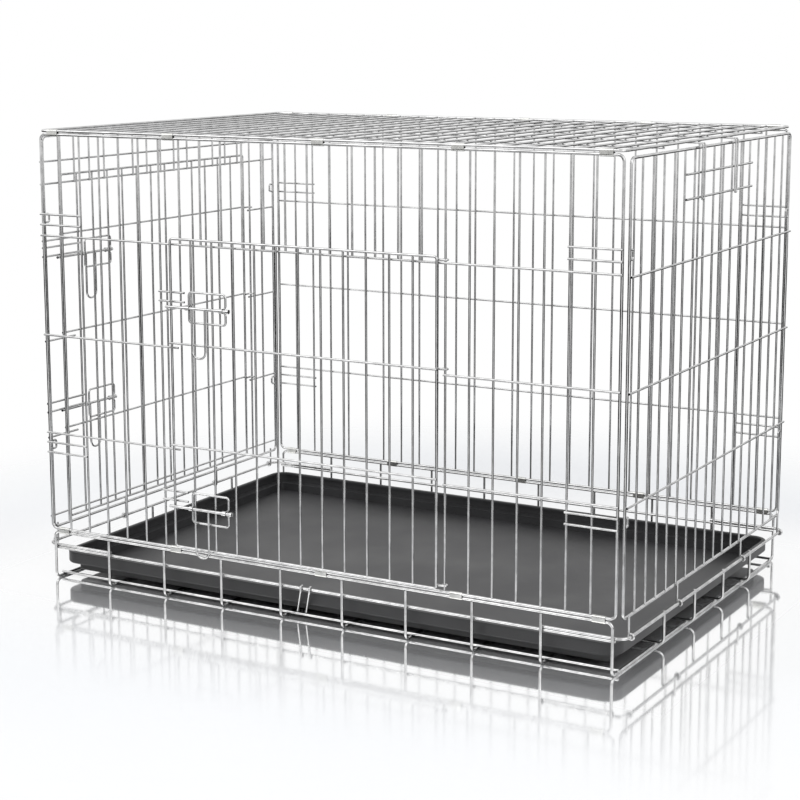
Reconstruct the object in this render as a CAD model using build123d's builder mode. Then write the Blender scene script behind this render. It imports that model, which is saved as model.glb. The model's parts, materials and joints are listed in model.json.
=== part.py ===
from build123d import *
import os

# Folding wire dog crate, millimetres, +Z up, +X to the right, front towards -Y.
# The origin is on the floor under the middle of the crate.

# Overall sizes
panel_length = 902.0  # between the corner uprights of the long panels
cabin_depth = 616.0  # between the hinge planes of the front and rear panels
panel_height = 580.0  # between the two hinge wires of a long panel
hinge_height = 77.0  # floor to the lower hinge wires

# Wire
frame_wire = 4.0  # panel edges and base
bar_wire = 3.0  # bars, cross wires and hooks
door_wire = 3.5  # door edges
weld_gap = 0.05  # between wires that are welded together

# Clearances
hinge_fit = 0.08  # radial, a wire turning in a clip or loop
slide_fit = 0.15  # radial, a bolt in its eyes
door_clear = 0.5  # a door in front of its panel
end_clear = 1.5  # an end panel outside the long panels
lie_clear = 1.3  # a folded end panel between the base's side rails
rest_clear = 0.3  # the tray on the floor wires

# Wire counts
long_spaces = 26
end_spaces = 17
base_crosses = 10
top_stringers_count = 4
front_door_spaces = 12
side_door_spaces = 13

# Panels
corner_bend = 8.0
door_bend = 4.0
end_drop = 4.0  # end panel's top wire below the upper hinge wire
end_foot = 2.0  # end panel's bottom wire below the lower hinge wire
top_rise = 5.0  # top panel above the upper hinge wire
lock_reach_spaces = 2  # bars that a lock wire spans
lock_upper_share = 0.803  # heights of the lock wires, in shares of the panel
lock_lower_share = 0.225
lock_pitch = 15.0
lock_loop_reach = 8.0
stop_reach = 30.0  # cross wires past the doorway's edge, for the door to close on

# Hinge clips
clip_length = 18.0
clip_sheet = 0.6
clip_end = 22.5  # first clip from the corner
clip_spaces = (6, 13, 19)  # spaces that hold the other clips
loop_turn = 290.0  # degrees that a hinge loop turns round its wire

# Base
rail_drop = 5.0  # base rail below the hinge wire
mid_rail_share = 0.61  # of the hinge height
base_bend = 8.0
end_rail_bend = 14.0
end_rail_lap = 100.0
cross_inset = 4.0  # base hoop inside the corner uprights
hoop_joint = 0.1  # butt joint in the hoop, behind
floor_wire_set = 16.0  # outer floor wires behind the hinge planes
floor_wire_shares = (-0.27, -0.09, 0.09, 0.27)  # of the depth
hook_x = (-32.0, -18.0)
hook_lean = 15.0
hook_tip = 4.5
hook_bend = 2.5

# Tray
tray_end_gap = 4.0  # tray to the corner uprights' line
tray_side_gap = 14.0  # tray to the hinge planes
tray_fold_gap = 3.0  # tray's rim under a folded end panel
tray_step_share = 0.42
tray_ledge = 16.0  # width of the rim's channel
tray_wall = 2.5
tray_corner = 8.0
tray_lip_width = 6.0  # rolled lip round the top of the rim
tray_lip_height = 4.0
tray_lip_round = 1.5
tray_edge_round = 3.0  # lower edges, outside

# Front door
front_jamb = 6  # bar at the latch side
front_pivot = 19  # bar at the hinge side
front_latch_gap = 22.0
pivot_gap = 9.0
front_door_rise = 8.0
loop_set = 4.0  # outer hinge loops inside the door's top and bottom wires
front_door_foot = 5.0
front_door_cross_shares = (0.263, 0.513)  # heights, in shares of the panel
front_bolt_shares = (0.112, 0.602)

# Side door, in the left end panel; heights in shares of the panel
side_jamb = 1
side_pivot = 15
side_latch_gap = 12.0
side_head_share = 0.874
side_upper_share = 0.93
side_sill_share = 0.025
side_door_lap = 11.0
side_cross_shares = (0.23, 0.478, 0.732)  # the panel's own cross wires
side_door_cross_shares = (0.24, 0.488, 0.742)
side_bolt_shares = (0.285, 0.682)

# Latches
front_guide_near = 33.0  # guide from the door's edge
side_guide_near = 55.0
guide_length = 61.0
guide_above_share = 0.038  # of the panel's height
guide_below_share = 0.035
guide_notch = 5.0
guide_bend = 4.5
eye_wall = 1.2
eye_length = 6.0
bolt_rod = 4.0
bolt_past_edge = 4.0
bolt_past_guide = 6.0
bolt_head = 6.0
handle_from_guide = 7.0
handle_width = 22.0
handle_drop = 69.0
handle_bend = 10.0
front_keeper_reach = 42.0
side_keeper_reach = 50.0
keeper_above = (6.0, 19.0)

# Right end panel
right_bar_shares = (0.882, 0.938)  # heights of the short bars
right_bar_spaces = (5, 12)
spring_hook_shares = (-0.117, 0.084)  # places along the depth
spring_hook_gap = 8.0
spring_wire = 2.5


def heights(shares):
    """Heights above the floor, from shares of a long panel's height."""
    return [hinge_height + panel_height * share for share in shares]


# Radii, planes and heights that follow
frame_r = frame_wire / 2
bar_r = bar_wire / 2
door_r = door_wire / 2
rod_r = bolt_rod / 2
spring_r = spring_wire / 2
long_x = panel_length / 2
long_y = cabin_depth / 2
foot_z = hinge_height
head_z = hinge_height + panel_height
long_pitch = panel_length / long_spaces
weld = frame_r + weld_gap
bar_set = frame_r - bar_r  # bars flush with the frame on the cross-wire side
cross_set = frame_r + bar_r + weld_gap
door_set = cross_set + bar_r + door_clear + door_r
door_bar_set = door_set + door_r - bar_r
door_cross_set = door_set + door_r + bar_r + weld_gap
rod_set = door_cross_set + bar_r + rod_r + rest_clear
loop_r = bar_r + hinge_fit + bar_r  # a door loop's ring, to the wire's middle
rail_loop_r = frame_r + hinge_fit + bar_r

end_x = long_x + frame_r + end_clear + frame_r
end_rail_x = end_x + cross_set + rail_loop_r
side_rail_y = long_y - frame_wire - weld_gap
end_y = side_rail_y - frame_r - lie_clear - frame_r
end_pitch = 2 * end_y / end_spaces
end_top_z = head_z - end_drop
end_foot_z = foot_z - end_foot
mid_rail_z = hinge_height * mid_rail_share
end_rail_z = mid_rail_z + frame_wire + weld_gap
rail_z = foot_z - rail_drop
top_z = head_z + top_rise
cross_x = long_x - cross_inset
floor_z = frame_r
floor_wire_z = floor_z + frame_wire + weld_gap
tray_z = floor_wire_z + frame_r + rest_clear
tray_top = end_rail_z - (end_rail_x - end_x) - frame_r - tray_fold_gap
tray_height = tray_top - tray_z
tray_step = tray_height * tray_step_share
quarter = panel_height / 4
low_z, mid_z, high_z = (foot_z + quarter * n for n in (1, 2, 3))
bars_x = [-long_x + long_pitch * n for n in range(long_spaces + 1)]
bars_y = [-end_y + end_pitch * n for n in range(end_spaces + 1)]
clip_x = [(bars_x[n] + bars_x[n + 1]) / 2 for n in clip_spaces]
clip_x = [clip_end - long_x] + clip_x + [long_x - clip_end]
lock_shares = (lock_upper_share, lock_lower_share)
lock_z = [foot_z + panel_height * share - lock_pitch * n for share in lock_shares for n in (0, 1)]

jamb_x = bars_x[front_jamb]
pivot_x = bars_x[front_pivot]
door_left = jamb_x + front_latch_gap
door_right = pivot_x - pivot_gap
front_guide = door_left + front_guide_near
door_foot = foot_z + front_door_foot
door_head = high_z + front_door_rise

jamb_y = bars_y[side_jamb]
pivot_y = bars_y[side_pivot]
side_near = jamb_y + side_latch_gap
side_far = pivot_y - pivot_gap
side_guide = side_near + side_guide_near
side_head_z = foot_z + panel_height * side_head_share
side_sill_z = foot_z + panel_height * side_sill_share
side_upper_z = foot_z + panel_height * side_upper_share
side_foot = side_sill_z - side_door_lap
side_top = side_head_z + side_door_lap
front_cross_z = heights(front_door_cross_shares)
front_loop_z = [door_foot + loop_set, front_cross_z[1], door_head - loop_set]
front_bolt_z = heights(front_bolt_shares)
left_z = heights(side_cross_shares)
side_cross_z = heights(side_door_cross_shares)
side_bolt_z = heights(side_bolt_shares)
right_bar_z = heights(right_bar_shares)
right_z = [end_foot_z + (end_top_z - end_foot_z) * n / 4 for n in (1, 2, 3)]


def bar(start, end, radius):
    """A straight round wire from start to end."""
    along = Vector(*end) - Vector(*start)
    with Locations(Plane(origin=start, z_dir=along)):
        Cylinder(radius, along.length, align=(Align.CENTER, Align.CENTER, Align.MIN))


def bent(points, radius, bend, close=False):
    """A round wire bent through the points."""
    with BuildLine(mode=Mode.PRIVATE) as path:
        FilletPolyline(*points, radius=bend, close=close)
    route = path.wires()[0]
    with BuildSketch(Plane(origin=route @ 0, z_dir=route % 0), mode=Mode.PRIVATE) as section:
        Circle(radius)
    sweep(sections=section.sketch, path=route)


def hook_round(plane, start, centre, radius, begin, turn):
    """A straight wire that ends in an open loop round a hinge wire."""
    with BuildLine(plane, mode=Mode.PRIVATE) as path:
        arc = CenterArc(centre, radius, begin, turn)
        Line(start, arc @ 0)
    route = path.wires()[0]
    with BuildSketch(Plane(origin=route @ 0, z_dir=route % 0), mode=Mode.PRIVATE) as section:
        Circle(bar_r)
    sweep(sections=section.sketch, path=route)


def bars_up(places, low, high, radius):
    """Upright wires at each (x, y), from low to high."""
    with Locations(*[(x, y, low) for x, y in places]):
        Cylinder(radius, high - low, align=(Align.CENTER, Align.CENTER, Align.MIN))


def panel_frame(low, high, radius, bend):
    """A closed wire frame through the corners of a box that is flat one way."""
    if low[2] == high[2]:
        points = [low, (high[0], low[1], low[2]), high, (low[0], high[1], low[2])]
    else:
        points = [low, (high[0], high[1], low[2]), high, (low[0], low[1], high[2])]
    bent(points, radius, bend, close=True)


def clips(y, low, high):
    """Sheet clips round two parallel hinge wires, one above the other."""
    inner = frame_r + hinge_fit
    for x in clip_x:
        with BuildSketch(Plane.YZ.offset(x - clip_length / 2), mode=Mode.PRIVATE) as section:
            with Locations((y, (low + high) / 2)):
                SlotCenterToCenter(high - low, 2 * (inner + clip_sheet), rotation=90)
                SlotCenterToCenter(high - low, 2 * inner, rotation=90, mode=Mode.SUBTRACT)
        extrude(section.sketch, clip_length)


os.makedirs("parts", exist_ok=True)

# Base
with BuildPart() as base_hoop:
    half = hoop_joint / 2
    points = [(half, long_y, rail_z), (cross_x, long_y, rail_z), (cross_x, long_y, floor_z)]
    points += [(cross_x, -long_y, floor_z), (cross_x, -long_y, rail_z)]
    points += [(-x, y, z) for x, y, z in reversed(points)]
    bent(points, frame_r, base_bend)
base_hoop.part.label = "base_hoop"
export_step(base_hoop.part, "parts/base_hoop.step")

with BuildPart() as base_cross_wires:
    high = rail_z - weld
    for n in range(1, base_crosses - 1):
        x = -cross_x + 2 * cross_x * n / (base_crosses - 1)
        points = [(x, -long_y, high), (x, -long_y, floor_z), (x, long_y, floor_z), (x, long_y, high)]
        bent(points, frame_r, base_bend)
base_cross_wires.part.label = "base_cross_wires"
export_step(base_cross_wires.part, "parts/base_cross_wires.step")

with BuildPart() as base_floor_wires:
    outer_y = long_y - floor_wire_set
    for y in (-outer_y, outer_y):
        bar((-cross_x - frame_r, y, floor_wire_z), (cross_x + frame_r, y, floor_wire_z), frame_r)
    up_x = end_rail_x - frame_wire - weld_gap
    for share in floor_wire_shares:
        y = cabin_depth * share
        points = [(-up_x, y, end_rail_z), (-up_x, y, floor_wire_z)]
        points += [(up_x, y, floor_wire_z), (up_x, y, end_rail_z)]
        bent(points, frame_r, base_bend)
base_floor_wires.part.label = "base_floor_wires"
export_step(base_floor_wires.part, "parts/base_floor_wires.step")

with BuildPart() as base_mid_rails:
    for y in (-side_rail_y, side_rail_y):
        bar((-cross_x - frame_r, y, mid_rail_z), (cross_x + frame_r, y, mid_rail_z), frame_r)
base_mid_rails.part.label = "base_mid_rails"
export_step(base_mid_rails.part, "parts/base_mid_rails.step")

with BuildPart() as base_end_rails:
    for side in (-1, 1):
        lap_x = side * (cross_x - end_rail_lap)
        far_x = side * end_rail_x
        points = [(lap_x, -side_rail_y, end_rail_z), (far_x, -side_rail_y, end_rail_z)]
        points += [(far_x, side_rail_y, end_rail_z), (lap_x, side_rail_y, end_rail_z)]
        bent(points, frame_r, end_rail_bend)
base_end_rails.part.label = "base_end_rails"
export_step(base_end_rails.part, "parts/base_end_rails.step")

with BuildPart() as base_hinge_clips:
    for y in (-long_y, long_y):
        clips(y, rail_z, foot_z)
base_hinge_clips.part.label = "base_hinge_clips"
export_step(base_hinge_clips.part, "parts/base_hinge_clips.step")

with BuildPart() as closing_hooks:
    outside_y = -side_rail_y - cross_set
    over_z = mid_rail_z + cross_set
    for x in hook_x:
        top_x = x + hook_lean
        points = [(x, -outer_y, floor_wire_z + cross_set), (top_x, outside_y, mid_rail_z - frame_wire)]
        points += [(top_x, outside_y, over_z), (top_x, outside_y + hook_tip, over_z)]
        bent(points, bar_r, hook_bend)
closing_hooks.part.label = "closing_hooks"
export_step(closing_hooks.part, "parts/closing_hooks.step")

# Tray
with BuildPart() as tray:
    rim_x = 2 * (long_x - tray_end_gap)
    rim_y = 2 * (long_y - tray_side_gap)
    pan = (tray_ledge, 0, tray_step)
    rim = (0, tray_step, tray_height)
    step_z = tray_z + tray_step
    for inset, low, high in (pan, rim):
        with BuildSketch(Plane.XY.offset(tray_z + low)):
            RectangleRounded(rim_x - 2 * inset, rim_y - 2 * inset, tray_corner + tray_ledge - inset)
        extrude(amount=high - low)
    for inset, low, high in (pan, rim):
        inner = inset + tray_wall
        with BuildSketch(Plane.XY.offset(tray_z + low + tray_wall)):
            RectangleRounded(rim_x - 2 * inner, rim_y - 2 * inner, tray_corner + tray_ledge - inner)
        extrude(amount=high - low, mode=Mode.SUBTRACT)
    with BuildSketch(Plane.XY.offset(tray_top - tray_lip_height)):
        RectangleRounded(rim_x, rim_y, tray_corner + tray_ledge)
        inner = tray_lip_width
        corner = tray_corner + tray_ledge - inner
        RectangleRounded(rim_x - 2 * inner, rim_y - 2 * inner, corner, mode=Mode.SUBTRACT)
    extrude(amount=tray_lip_height)
    lower = tray.edges().group_by(Axis.Z)[0] + tray.edges().filter_by_position(Axis.Z, step_z, step_z)
    fillet(lower, tray_edge_round)
    fillet(tray.edges().group_by(Axis.Z)[-1], tray_lip_round)
tray.part.label = "tray"
export_step(tray.part, "parts/tray.step")

# Front panel
with BuildPart() as front_frame:
    panel_frame((-long_x, -long_y, foot_z), (long_x, -long_y, head_z), frame_r, corner_bend)
front_frame.part.label = "front_frame"
export_step(front_frame.part, "parts/front_frame.step")

with BuildPart() as front_uprights:
    bar_y = -long_y - bar_set
    whole = bars_x[1 : front_jamb + 1] + bars_x[front_pivot:-1]
    bars_up([(x, bar_y) for x in whole], foot_z + weld, head_z - weld, bar_r)
    short = bars_x[front_jamb + 1 : front_pivot]
    bars_up([(x, bar_y) for x in short], high_z - bar_r, head_z - weld, bar_r)
front_uprights.part.label = "front_uprights"
export_step(front_uprights.part, "parts/front_uprights.step")

with BuildPart() as front_cross_wires:
    y = -long_y - cross_set
    far = long_x + frame_r
    bar((-far, y, high_z), (far, y, high_z), bar_r)
    for z in (low_z, mid_z):
        bar((-far, y, z), (jamb_x + stop_reach, y, z), bar_r)
        bar((pivot_x - bar_r, y, z), (far, y, z), bar_r)
front_cross_wires.part.label = "front_cross_wires"
export_step(front_cross_wires.part, "parts/front_cross_wires.step")

with BuildPart() as front_lock_wires:
    for z in lock_z:
        for side in (-1, 1):
            near = side * (long_x - long_pitch * lock_reach_spaces - bar_r)
            bar((near, y, z), (side * far, y, z), bar_r)
front_lock_wires.part.label = "front_lock_wires"
export_step(front_lock_wires.part, "parts/front_lock_wires.step")

with BuildPart() as front_keepers:
    for z in front_bolt_z:
        for above in keeper_above:
            bar((jamb_x - bar_r, y, z + above), (jamb_x + front_keeper_reach, y, z + above), bar_r)
front_keepers.part.label = "front_keepers"
export_step(front_keepers.part, "parts/front_keepers.step")

# Rear panel
with BuildPart() as rear_frame:
    panel_frame((-long_x, long_y, foot_z), (long_x, long_y, head_z), frame_r, corner_bend)
rear_frame.part.label = "rear_frame"
export_step(rear_frame.part, "parts/rear_frame.step")

with BuildPart() as rear_uprights:
    bars_up([(x, long_y + bar_set) for x in bars_x[1:-1]], foot_z + weld, head_z - weld, bar_r)
rear_uprights.part.label = "rear_uprights"
export_step(rear_uprights.part, "parts/rear_uprights.step")

with BuildPart() as rear_cross_wires:
    for z in (low_z, mid_z, high_z):
        bar((-far, long_y + cross_set, z), (far, long_y + cross_set, z), bar_r)
rear_cross_wires.part.label = "rear_cross_wires"
export_step(rear_cross_wires.part, "parts/rear_cross_wires.step")

with BuildPart() as rear_lock_wires:
    for z in lock_z:
        for side in (-1, 1):
            near = side * (long_x - long_pitch * lock_reach_spaces - bar_r)
            bar((near, long_y + cross_set, z), (side * far, long_y + cross_set, z), bar_r)
rear_lock_wires.part.label = "rear_lock_wires"
export_step(rear_lock_wires.part, "parts/rear_lock_wires.step")

# Top panel
with BuildPart() as top_frame:
    panel_frame((-long_x, -long_y, top_z), (long_x, long_y, top_z), frame_r, corner_bend)
top_frame.part.label = "top_frame"
export_step(top_frame.part, "parts/top_frame.step")

with BuildPart() as top_bars:
    reach = long_y - weld
    with Locations(*[(x, 0, top_z - bar_set) for x in bars_x[1:-1]]):
        Cylinder(bar_r, 2 * reach, rotation=(90, 0, 0))
top_bars.part.label = "top_bars"
export_step(top_bars.part, "parts/top_bars.step")

with BuildPart() as top_stringers:
    for n in range(top_stringers_count):
        y = -long_y + cabin_depth * (n + 1) / (top_stringers_count + 1)
        bar((-far, y, top_z - cross_set), (far, y, top_z - cross_set), bar_r)
top_stringers.part.label = "top_stringers"
export_step(top_stringers.part, "parts/top_stringers.step")

with BuildPart() as top_hinge_clips:
    for y in (-long_y, long_y):
        clips(y, head_z, top_z)
top_hinge_clips.part.label = "top_hinge_clips"
export_step(top_hinge_clips.part, "parts/top_hinge_clips.step")


def end_hinge_loops(side):
    """Wire loops from the end panel's bottom wire, closed round the base's end rail."""
    stem_x = side * (end_x + cross_set)
    for y in (bars_y[0] + end_pitch / 3, bars_y[5], bars_y[12], bars_y[-1] - end_pitch / 3):
        plane = Plane(origin=(0, y, 0), x_dir=(1, 0, 0), z_dir=(0, -1, 0))
        start = (stem_x, end_foot_z + frame_wire)
        centre = (side * end_rail_x, end_rail_z)
        hook_round(plane, start, centre, rail_loop_r, 90 + 90 * side, side * loop_turn)


def end_lock_loops(side):
    """Small U wires on the corner uprights, level with the long panels' lock wires."""
    x = side * end_x
    for first in (0, 2):
        high, low = lock_z[first] - bar_r, lock_z[first + 1] + bar_r
        for hand in (-1, 1):
            near = hand * (end_y - weld)
            inner = hand * (end_y - weld - lock_loop_reach)
            bent([(x, near, high), (x, inner, high), (x, inner, low), (x, near, low)], bar_r, bar_wire)


# Left end panel, with the side doorway
with BuildPart() as left_end_frame:
    panel_frame((-end_x, -end_y, end_foot_z), (-end_x, end_y, end_top_z), frame_r, corner_bend)
left_end_frame.part.label = "left_end_frame"
export_step(left_end_frame.part, "parts/left_end_frame.step")

with BuildPart() as left_end_uprights:
    bar_x = -end_x - bar_set
    whole = bars_y[1 : side_jamb + 1] + bars_y[side_pivot:-1]
    bars_up([(bar_x, y) for y in whole], end_foot_z + weld, end_top_z - weld, bar_r)
    short = bars_y[side_jamb + 1 : side_pivot]
    bars_up([(bar_x, y) for y in short], side_head_z - bar_r, end_top_z - weld, bar_r)
left_end_uprights.part.label = "left_end_uprights"
export_step(left_end_uprights.part, "parts/left_end_uprights.step")

with BuildPart() as left_end_cross_wires:
    x = -end_x - cross_set
    reach = end_y + frame_r
    for z in (side_sill_z, side_head_z, side_upper_z):
        bar((x, -reach, z), (x, reach, z), bar_r)
    for z in left_z:
        bar((x, -reach, z), (x, jamb_y + stop_reach, z), bar_r)
        bar((x, pivot_y - bar_r, z), (x, reach, z), bar_r)
left_end_cross_wires.part.label = "left_end_cross_wires"
export_step(left_end_cross_wires.part, "parts/left_end_cross_wires.step")

with BuildPart() as left_end_keepers:
    for z in side_bolt_z:
        for above in keeper_above:
            bar((x, -reach, z + above), (x, jamb_y + side_keeper_reach, z + above), bar_r)
left_end_keepers.part.label = "left_end_keepers"
export_step(left_end_keepers.part, "parts/left_end_keepers.step")

with BuildPart() as left_end_hinge_loops:
    end_hinge_loops(-1)
left_end_hinge_loops.part.label = "left_end_hinge_loops"
export_step(left_end_hinge_loops.part, "parts/left_end_hinge_loops.step")

with BuildPart() as left_end_lock_loops:
    end_lock_loops(-1)
left_end_lock_loops.part.label = "left_end_lock_loops"
export_step(left_end_lock_loops.part, "parts/left_end_lock_loops.step")

# Right end panel
with BuildPart() as right_end_frame:
    panel_frame((end_x, -end_y, end_foot_z), (end_x, end_y, end_top_z), frame_r, corner_bend)
right_end_frame.part.label = "right_end_frame"
export_step(right_end_frame.part, "parts/right_end_frame.step")

with BuildPart() as right_end_uprights:
    bars_up([(end_x + bar_set, y) for y in bars_y[1:-1]], end_foot_z + weld, end_top_z - weld, bar_r)
right_end_uprights.part.label = "right_end_uprights"
export_step(right_end_uprights.part, "parts/right_end_uprights.step")

with BuildPart() as right_end_cross_wires:
    x = end_x + cross_set
    for z in right_z:
        bar((x, -reach, z), (x, reach, z), bar_r)
    near, last = (bars_y[n] for n in right_bar_spaces)
    for z in right_bar_z:
        bar((x, near - bar_r, z), (x, last + bar_r, z), bar_r)
right_end_cross_wires.part.label = "right_end_cross_wires"
export_step(right_end_cross_wires.part, "parts/right_end_cross_wires.step")

with BuildPart() as right_end_spring_hooks:
    hook_out = x + bar_r + spring_r + weld_gap
    tip_z = top_z - frame_r - rest_clear - spring_r
    tip_x = end_x - frame_r + spring_r
    low = right_bar_z[0] - bar_wire
    for share in spring_hook_shares:
        y = cabin_depth * share
        a, b = y - spring_hook_gap / 2, y + spring_hook_gap / 2
        points = [(tip_x, a, tip_z), (hook_out, a, tip_z), (hook_out, a, low)]
        points += [(hook_out, b, low), (hook_out, b, tip_z), (tip_x, b, tip_z)]
        bent(points, spring_r, spring_wire)
right_end_spring_hooks.part.label = "right_end_spring_hooks"
export_step(right_end_spring_hooks.part, "parts/right_end_spring_hooks.step")

with BuildPart() as right_end_hinge_loops:
    end_hinge_loops(1)
right_end_hinge_loops.part.label = "right_end_hinge_loops"
export_step(right_end_hinge_loops.part, "parts/right_end_hinge_loops.step")

with BuildPart() as right_end_lock_loops:
    end_lock_loops(1)
right_end_lock_loops.part.label = "right_end_lock_loops"
export_step(right_end_lock_loops.part, "parts/right_end_lock_loops.step")

# Front door
with BuildPart() as front_door_frame:
    y = -long_y - door_set
    panel_frame((door_left, y, door_foot), (door_right, y, door_head), door_r, door_bend)
front_door_frame.part.label = "front_door_frame"
export_step(front_door_frame.part, "parts/front_door_frame.step")

with BuildPart() as front_door_bars:
    step = (door_right - door_left) / front_door_spaces
    places = [(door_left + step * n, -long_y - door_bar_set) for n in range(1, front_door_spaces)]
    bars_up(places, door_foot + door_r + weld_gap, door_head - door_r - weld_gap, bar_r)
front_door_bars.part.label = "front_door_bars"
export_step(front_door_bars.part, "parts/front_door_bars.step")

with BuildPart() as front_door_cross_wires:
    y = -long_y - door_cross_set
    for z in front_cross_z:
        bar((door_left - door_r, y, z), (door_right + door_r, y, z), bar_r)
front_door_cross_wires.part.label = "front_door_cross_wires"
export_step(front_door_cross_wires.part, "parts/front_door_cross_wires.step")

with BuildPart() as front_door_hinge_loops:
    y = -long_y - bar_set
    for z in front_loop_z:
        start = (door_right - door_r, y - loop_r)
        hook_round(Plane.XY.offset(z), start, (pivot_x, y), loop_r, 270, loop_turn)
front_door_hinge_loops.part.label = "front_door_hinge_loops"
export_step(front_door_hinge_loops.part, "parts/front_door_hinge_loops.step")


def guide(near, height, place, turn):
    """A latch guide: a wire loop, notched on its far side, with two eyes for its bolt."""
    far_edge = near + guide_length
    up, down = height + panel_height * guide_above_share, height - panel_height * guide_below_share
    points = [(near, down), (far_edge, down), (far_edge, height - guide_notch)]
    points += [(far_edge - guide_notch, height), (far_edge, height + guide_notch)]
    points += [(far_edge, up), (near, up)]
    bent([place(a, door_cross_set, z) for a, z in points], bar_r, guide_bend, close=True)
    with Locations(*[place(a, rod_set, height) for a in (near, far_edge - guide_notch)]):
        Cylinder(rod_r + slide_fit + eye_wall, eye_length, rotation=turn)
        Cylinder(rod_r + slide_fit, 2 * eye_length, rotation=turn, mode=Mode.SUBTRACT)


def bolt(edge, near, height, place, turn):
    """A sliding bolt: a rod with a head, and a U handle hanging from it."""
    tip = edge - bolt_past_edge
    end = near + guide_length + bolt_past_guide
    with Locations(place((tip + end) / 2, rod_set, height)):
        Cylinder(rod_r, end - tip, rotation=turn)
    with Locations(place(end, rod_set, height)):
        Cylinder(bolt_head / 2, bolt_rod, rotation=turn)
    a = near + handle_from_guide
    b = a + handle_width
    up, down = height - rod_r - weld_gap, height - handle_drop
    points = [(a, up), (a, down), (b, down), (b, up)]
    bent([place(c, rod_set, z) for c, z in points], bar_r, handle_bend)


def on_front(a, out, z):
    """A place on the front door: along it, out from the panel, and height."""
    return (a, -long_y - out, z)


def on_side(a, out, z):
    """A place on the side door: along it, out from the panel, and height."""
    return (-end_x - out, a, z)


with BuildPart() as front_door_latch_guides:
    for z in front_bolt_z:
        guide(front_guide, z, on_front, (0, 90, 0))
front_door_latch_guides.part.label = "front_door_latch_guides"
export_step(front_door_latch_guides.part, "parts/front_door_latch_guides.step")

with BuildPart() as front_bolt_lower:
    bolt(door_left, front_guide, front_bolt_z[0], on_front, (0, 90, 0))
front_bolt_lower.part.label = "front_bolt_lower"
export_step(front_bolt_lower.part, "parts/front_bolt_lower.step")

with BuildPart() as front_bolt_upper:
    bolt(door_left, front_guide, front_bolt_z[1], on_front, (0, 90, 0))
front_bolt_upper.part.label = "front_bolt_upper"
export_step(front_bolt_upper.part, "parts/front_bolt_upper.step")

# Side door
with BuildPart() as side_door_frame:
    x = -end_x - door_set
    panel_frame((x, side_near, side_foot), (x, side_far, side_top), door_r, door_bend)
side_door_frame.part.label = "side_door_frame"
export_step(side_door_frame.part, "parts/side_door_frame.step")

with BuildPart() as side_door_bars:
    step = (side_far - side_near) / side_door_spaces
    places = [(-end_x - door_bar_set, side_near + step * n) for n in range(1, side_door_spaces)]
    bars_up(places, side_foot + door_r + weld_gap, side_top - door_r - weld_gap, bar_r)
side_door_bars.part.label = "side_door_bars"
export_step(side_door_bars.part, "parts/side_door_bars.step")

with BuildPart() as side_door_cross_wires:
    x = -end_x - door_cross_set
    for z in side_cross_z:
        bar((x, side_near - door_r, z), (x, side_far + door_r, z), bar_r)
side_door_cross_wires.part.label = "side_door_cross_wires"
export_step(side_door_cross_wires.part, "parts/side_door_cross_wires.step")

with BuildPart() as side_door_hinge_loops:
    x = -end_x - bar_set
    for z in side_cross_z:
        start = (x - loop_r, side_far - door_r)
        hook_round(Plane.XY.offset(z), start, (x, pivot_y), loop_r, 180, -loop_turn)
side_door_hinge_loops.part.label = "side_door_hinge_loops"
export_step(side_door_hinge_loops.part, "parts/side_door_hinge_loops.step")

with BuildPart() as side_door_latch_guides:
    for z in side_bolt_z:
        guide(side_guide, z, on_side, (90, 0, 0))
side_door_latch_guides.part.label = "side_door_latch_guides"
export_step(side_door_latch_guides.part, "parts/side_door_latch_guides.step")

with BuildPart() as side_bolt_lower:
    bolt(side_near, side_guide, side_bolt_z[0], on_side, (90, 0, 0))
side_bolt_lower.part.label = "side_bolt_lower"
export_step(side_bolt_lower.part, "parts/side_bolt_lower.step")

with BuildPart() as side_bolt_upper:
    bolt(side_near, side_guide, side_bolt_z[1], on_side, (90, 0, 0))
side_bolt_upper.part.label = "side_bolt_upper"
export_step(side_bolt_upper.part, "parts/side_bolt_upper.step")
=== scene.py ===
import json
import math

import bpy
from mathutils import Matrix, Vector


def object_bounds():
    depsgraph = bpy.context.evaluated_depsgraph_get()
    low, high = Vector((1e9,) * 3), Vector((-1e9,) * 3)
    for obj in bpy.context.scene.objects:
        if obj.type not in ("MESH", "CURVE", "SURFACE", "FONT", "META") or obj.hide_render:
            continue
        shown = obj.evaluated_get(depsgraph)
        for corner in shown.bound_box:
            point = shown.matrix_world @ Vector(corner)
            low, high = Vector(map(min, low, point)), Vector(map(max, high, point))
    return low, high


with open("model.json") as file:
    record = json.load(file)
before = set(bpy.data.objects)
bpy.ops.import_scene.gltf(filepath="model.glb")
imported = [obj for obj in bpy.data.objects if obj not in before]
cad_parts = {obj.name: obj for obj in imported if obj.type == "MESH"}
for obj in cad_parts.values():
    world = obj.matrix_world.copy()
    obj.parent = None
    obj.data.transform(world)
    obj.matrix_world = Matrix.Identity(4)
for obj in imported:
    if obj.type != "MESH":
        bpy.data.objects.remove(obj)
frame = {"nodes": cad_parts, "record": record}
cad_low, cad_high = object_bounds()

# Camera, fitted to the corners of the crate as an 800 x 800 image shows them
IMAGE = 800.0  # pixels
FOCAL_PX = 1901.5
CENTRE_PX_Y = 350.0
CAMERA_AT = (1.3499, -2.4274, 0.8134)  # metres
CAMERA_YAW = -0.5184  # radians to the right of straight ahead
CAMERA_PITCH = 0.1704  # radians down
CAMERA_ROLL = -0.0011  # radians
CAMERA_REACH = 60.0  # metres
SENSOR_MM = 36.0

# Noise and ramps, the same in every finish
NOISE_DETAIL = 4.0
NOISE_ROUGHNESS = 0.55
RAMP_PLACES = (0.35, 0.65)

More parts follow.
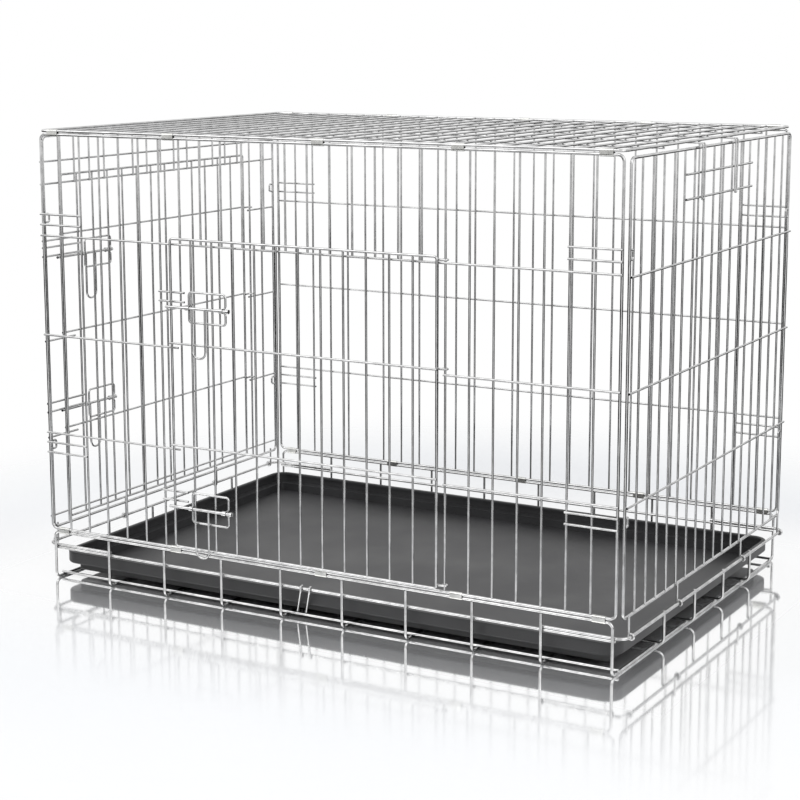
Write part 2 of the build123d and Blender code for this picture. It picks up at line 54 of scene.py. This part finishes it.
# Wire and clips: colour and roughness of each material slot
WIRE = {
    "frame_wire": ((0.57, 0.57, 0.57), 0.07),
    "bar_wire": ((0.54, 0.54, 0.54), 0.06),
    "latch_wire": ((0.58, 0.58, 0.58), 0.07),
    "clip_sheet": ((0.62, 0.62, 0.60), 0.2),
}
WIRE_CLOUD_SCALE = 60.0
WIRE_CLOUD_SHARES = (0.78, 1.12)  # of the colour
WIRE_GRAIN_SCALE = 900.0
WIRE_GRAIN_DETAIL = 2.0
WIRE_GRAIN_SHARES = (0.75, 1.4)  # of the roughness
WIRE_GRAIN_BUMP = (0.12, 0.0002)  # strength, and depth in metres

# Tray
TRAY_COLOUR = (0.023, 0.023, 0.024)
TRAY_WEAR_SCALE = 7.0
TRAY_WEAR_SHARES = (0.8, 1.5)  # of the colour
TRAY_WEAR_ROUGHNESS = (0.38, 0.52)
TRAY_GRAIN_SCALE = 420.0
TRAY_GRAIN_BUMP = (0.25, 0.0006)  # strength, and depth in metres

# Floor
FLOOR_SIZE = 30.0  # metres
FLOOR_GAP = 0.0002  # metres under the crate
FLOOR_CLOUD_SCALE = 1.5
FLOOR_TONES = (0.97, 0.99)
FLOOR_POLISH = (0.85, 0.0)  # share of mirror reflection, under the crate and away from it
FLOOR_POLISH_REACH = 0.36  # metres from the crate's footprint
FLOOR_ROUGHNESS = 0.06
FLOOR_FADE = (0.62, 1.2)  # metres from the middle

# Flags, in metres
FLAGS = {"flag_left": (-2.7, -0.88, -0.9), "flag_right": (2.2, 1.8, -0.9)}
FLAG_SIZE = (13.0, 2.2)
FLAG_TONE = 0.01

# Lamps: place and width in metres, power in watts
LAMPS = {
    "key": ((-1.6, -2.6, 3.2), 3.6, 50.0),
    "fill": ((2.8, -1.0, 2.2), 3.0, 25.0),
}
LAMP_AIM = (0.0, 0.0, 0.3)
SKY_COLOUR = (0.95, 0.97, 1.0)
SKY_STRENGTH = 0.75
WHITE = (1.0, 1.0, 1.0)


def rgba(colour):
    return (*colour, 1.0)


def grey(level):
    return (level, level, level)


def shade(colour, share):
    return tuple(min(1.0, c * share) for c in colour)


class Nodes:
    """Adds shader nodes to a tree and joins their sockets."""

    def __init__(self, tree):
        self.tree = tree
        tree.nodes.clear()

    def add(self, kind, **values):
        node = self.tree.nodes.new(kind)
        for name, value in values.items():
            setattr(node, name, value)
        return node

    def join(self, source, out, target, into):
        self.tree.links.new(source.outputs[out], target.inputs[into])

    def noise(self, coords, scale, detail=NOISE_DETAIL):
        node = self.add("ShaderNodeTexNoise")
        node.inputs["Scale"].default_value = scale
        node.inputs["Detail"].default_value = detail
        node.inputs["Roughness"].default_value = NOISE_ROUGHNESS
        self.join(coords, "Object", node, "Vector")
        return node

    def ramp(self, source, low, high):
        """A ramp from one colour to another, driven by a noise."""
        node = self.add("ShaderNodeValToRGB")
        for element, place, colour in zip(node.color_ramp.elements, RAMP_PLACES, (low, high)):
            element.position = place
            element.color = rgba(colour)
        self.join(source, "Fac", node, "Fac")
        return node

    def bump(self, source, out, strength, depth):
        node = self.add("ShaderNodeBump")
        node.inputs["Strength"].default_value = strength
        node.inputs["Distance"].default_value = depth
        self.join(source, out, node, "Height")
        return node

    def skin(self, tone, dull, bump, metallic):
        """A surface with its colour, roughness and bump from other nodes."""
        node = self.add("ShaderNodeBsdfPrincipled")
        node.inputs["Metallic"].default_value = metallic
        self.join(tone, "Color", node, "Base Color")
        self.join(dull, "Color", node, "Roughness")
        self.join(bump, "Normal", node, "Normal")
        return node

    def smooth_range(self, source, reach, values):
        """Runs smoothly between two values over a reach of the source."""
        node = self.add("ShaderNodeMapRange", interpolation_type="SMOOTHSTEP")
        node.inputs["From Min"].default_value = reach[0]
        node.inputs["From Max"].default_value = reach[1]
        node.inputs["To Min"].default_value = values[0]
        node.inputs["To Max"].default_value = values[1]
        self.join(source, "Value", node, "Value")
        return node

    def mix(self, share, first, second):
        """Mixes two shaders by the first output of another node."""
        node = self.add("ShaderNodeMixShader")
        self.join(share, 0, node, 0)
        self.join(first, 0, node, 1)
        self.join(second, 0, node, 2)
        return node

    def background(self, colour, strength):
        node = self.add("ShaderNodeBackground")
        node.inputs["Color"].default_value = rgba(colour)
        node.inputs["Strength"].default_value = strength
        return node

    def output(self, source, kind="ShaderNodeOutputMaterial"):
        self.join(source, 0, self.add(kind), "Surface")


def new_material(name):
    material = bpy.data.materials.new(name)
    material.use_nodes = True
    return material, Nodes(material.node_tree)


def wire_material(name, colour, rough):
    """Bright galvanised wire: zinc that is a little cloudy, with a fine grain."""
    material, n = new_material(name)
    coords = n.add("ShaderNodeTexCoord")
    cloud = n.noise(coords, WIRE_CLOUD_SCALE)
    tone = n.ramp(cloud, *(shade(colour, share) for share in WIRE_CLOUD_SHARES))
    fine = n.noise(coords, WIRE_GRAIN_SCALE, detail=WIRE_GRAIN_DETAIL)
    dull = n.ramp(fine, *(grey(rough * share) for share in WIRE_GRAIN_SHARES))
    grain = n.bump(fine, "Fac", *WIRE_GRAIN_BUMP)
    n.output(n.skin(tone, dull, grain, metallic=1.0))
    return material


def tray_material():
    """Black moulded plastic with a fine leather grain and faint wear."""
    material, n = new_material("tray_plastic")
    coords = n.add("ShaderNodeTexCoord")
    cells = n.add("ShaderNodeTexVoronoi")
    cells.inputs["Scale"].default_value = TRAY_GRAIN_SCALE
    n.join(coords, "Object", cells, "Vector")
    wear = n.noise(coords, TRAY_WEAR_SCALE)
    tone = n.ramp(wear, *(shade(TRAY_COLOUR, share) for share in TRAY_WEAR_SHARES))
    dull = n.ramp(wear, *(grey(level) for level in TRAY_WEAR_ROUGHNESS))
    grain = n.bump(cells, "Distance", *TRAY_GRAIN_BUMP)
    n.output(n.skin(tone, dull, grain, metallic=0.0))
    return material


def floor_polish(n, coords):
    """Share of mirror reflection, which falls off outside the crate's footprint."""
    where = n.add("ShaderNodeSeparateXYZ")
    n.join(coords, "Object", where, "Vector")
    beyond = n.add("ShaderNodeMath", operation="MAXIMUM")
    for axis, name in enumerate("XY"):
        distance = n.add("ShaderNodeMath", operation="ABSOLUTE")
        n.join(where, name, distance, 0)
        past = n.add("ShaderNodeMath", operation="SUBTRACT")
        past.inputs[1].default_value = (cad_high[axis] - cad_low[axis]) / 2
        n.join(distance, "Value", past, 0)
        n.join(past, "Value", beyond, axis)
    return n.smooth_range(beyond, (0.0, FLOOR_POLISH_REACH), FLOOR_POLISH)


def floor_material():
    """White polished studio floor that fades into the white backdrop."""
    material, n = new_material("studio_floor")
    coords = n.add("ShaderNodeTexCoord")
    cloud = n.noise(coords, FLOOR_CLOUD_SCALE)
    tone = n.ramp(cloud, *(grey(level) for level in FLOOR_TONES))
    matt = n.add("ShaderNodeBsdfDiffuse")
    n.join(tone, "Color", matt, "Color")
    mirror = n.add("ShaderNodeBsdfAnisotropic")
    mirror.inputs["Color"].default_value = rgba(WHITE)
    mirror.inputs["Roughness"].default_value = FLOOR_ROUGHNESS
    surface = n.mix(floor_polish(n, coords), matt, mirror)
    away = n.add("ShaderNodeVectorMath", operation="LENGTH")
    n.join(coords, "Object", away, 0)
    fade = n.smooth_range(away, FLOOR_FADE, (0.0, 1.0))
    n.output(n.mix(fade, surface, n.add("ShaderNodeBsdfTransparent")))
    return material


def flag_material(name):
    material, n = new_material(name)
    cloth = n.add("ShaderNodeBsdfDiffuse")
    cloth.inputs["Color"].default_value = rgba(grey(FLAG_TONE))
    n.output(cloth)
    return material


def dress_nodes():
    """Gives each CAD node the finish of its material slot."""
    made = {name: wire_material(name, *values) for name, values in WIRE.items()}
    made["tray_plastic"] = tray_material()
    for part in frame["record"]["subparts"]:
        node = frame["nodes"][part["node"]]
        node.data.materials.clear()
        node.data.materials.append(made[part["material_slot"]])


def add_floor():
    bpy.ops.mesh.primitive_plane_add(size=FLOOR_SIZE, location=(0.0, 0.0, cad_low[2] - FLOOR_GAP))
    floor = bpy.context.object
    floor.name = "studio_floor"
    floor.data.materials.append(floor_material())


def add_flag(name, place):
    """A black studio flag beside the set, which draws dark edges on the bright wire."""
    bpy.ops.mesh.primitive_plane_add(size=1.0, location=place)
    flag = bpy.context.object
    flag.name = name
    flag.scale = (*FLAG_SIZE, 1.0)
    aim = Vector((0.0, 0.0, place[2])) - Vector(place)
    flag.rotation_euler = aim.to_track_quat("Z", "Y").to_euler()
    flag.visible_camera = False
    flag.visible_diffuse = False
    flag.visible_shadow = False
    flag.data.materials.append(flag_material(name))


def add_light(name, place, width, power):
    """A soft area light that faces the crate."""
    data = bpy.data.lights.new(name, "AREA")
    data.shape = "DISK"
    data.size = width
    data.energy = power
    light = bpy.data.objects.new(name, data)
    bpy.context.scene.collection.objects.link(light)
    light.location = place
    aim = Vector(LAMP_AIM) - Vector(place)
    light.rotation_euler = aim.to_track_quat("-Z", "Y").to_euler()


def add_world():
    """White to the camera and in reflections, and soft white light from everywhere."""
    world = bpy.data.worlds.new("studio")
    bpy.context.scene.world = world
    world.use_nodes = True
    n = Nodes(world.node_tree)
    rays = n.add("ShaderNodeLightPath")
    seen = n.add("ShaderNodeMath", operation="ADD")
    n.join(rays, "Is Camera Ray", seen, 0)
    n.join(rays, "Is Glossy Ray", seen, 1)
    white = n.add("ShaderNodeMath", operation="ADD", use_clamp=True)
    n.join(seen, "Value", white, 0)
    n.join(rays, "Is Transmission Ray", white, 1)
    lighting = n.background(SKY_COLOUR, SKY_STRENGTH)
    backdrop = n.background(WHITE, 1.0)
    n.output(n.mix(white, lighting, backdrop), kind="ShaderNodeOutputWorld")


def add_camera():
    data = bpy.data.cameras.new("camera")
    data.sensor_width = SENSOR_MM
    data.lens = FOCAL_PX * SENSOR_MM / IMAGE
    data.shift_y = (CENTRE_PX_Y - IMAGE / 2) / IMAGE
    data.clip_end = CAMERA_REACH
    camera = bpy.data.objects.new("camera", data)
    bpy.context.scene.collection.objects.link(camera)
    turn = Matrix.Rotation(-CAMERA_YAW, 4, "Z") @ Matrix.Rotation(math.pi / 2 - CAMERA_PITCH, 4, "X")
    camera.matrix_world = Matrix.Translation(CAMERA_AT) @ turn @ Matrix.Rotation(CAMERA_ROLL, 4, "Z")
    bpy.context.scene.camera = camera


dress_nodes()
add_floor()
add_world()
for flag_name, flag_place in FLAGS.items():
    add_flag(flag_name, flag_place)
for lamp_name, lamp in LAMPS.items():
    add_light(lamp_name, *lamp)
add_camera()
bpy.context.scene.view_settings.view_transform = "Standard"
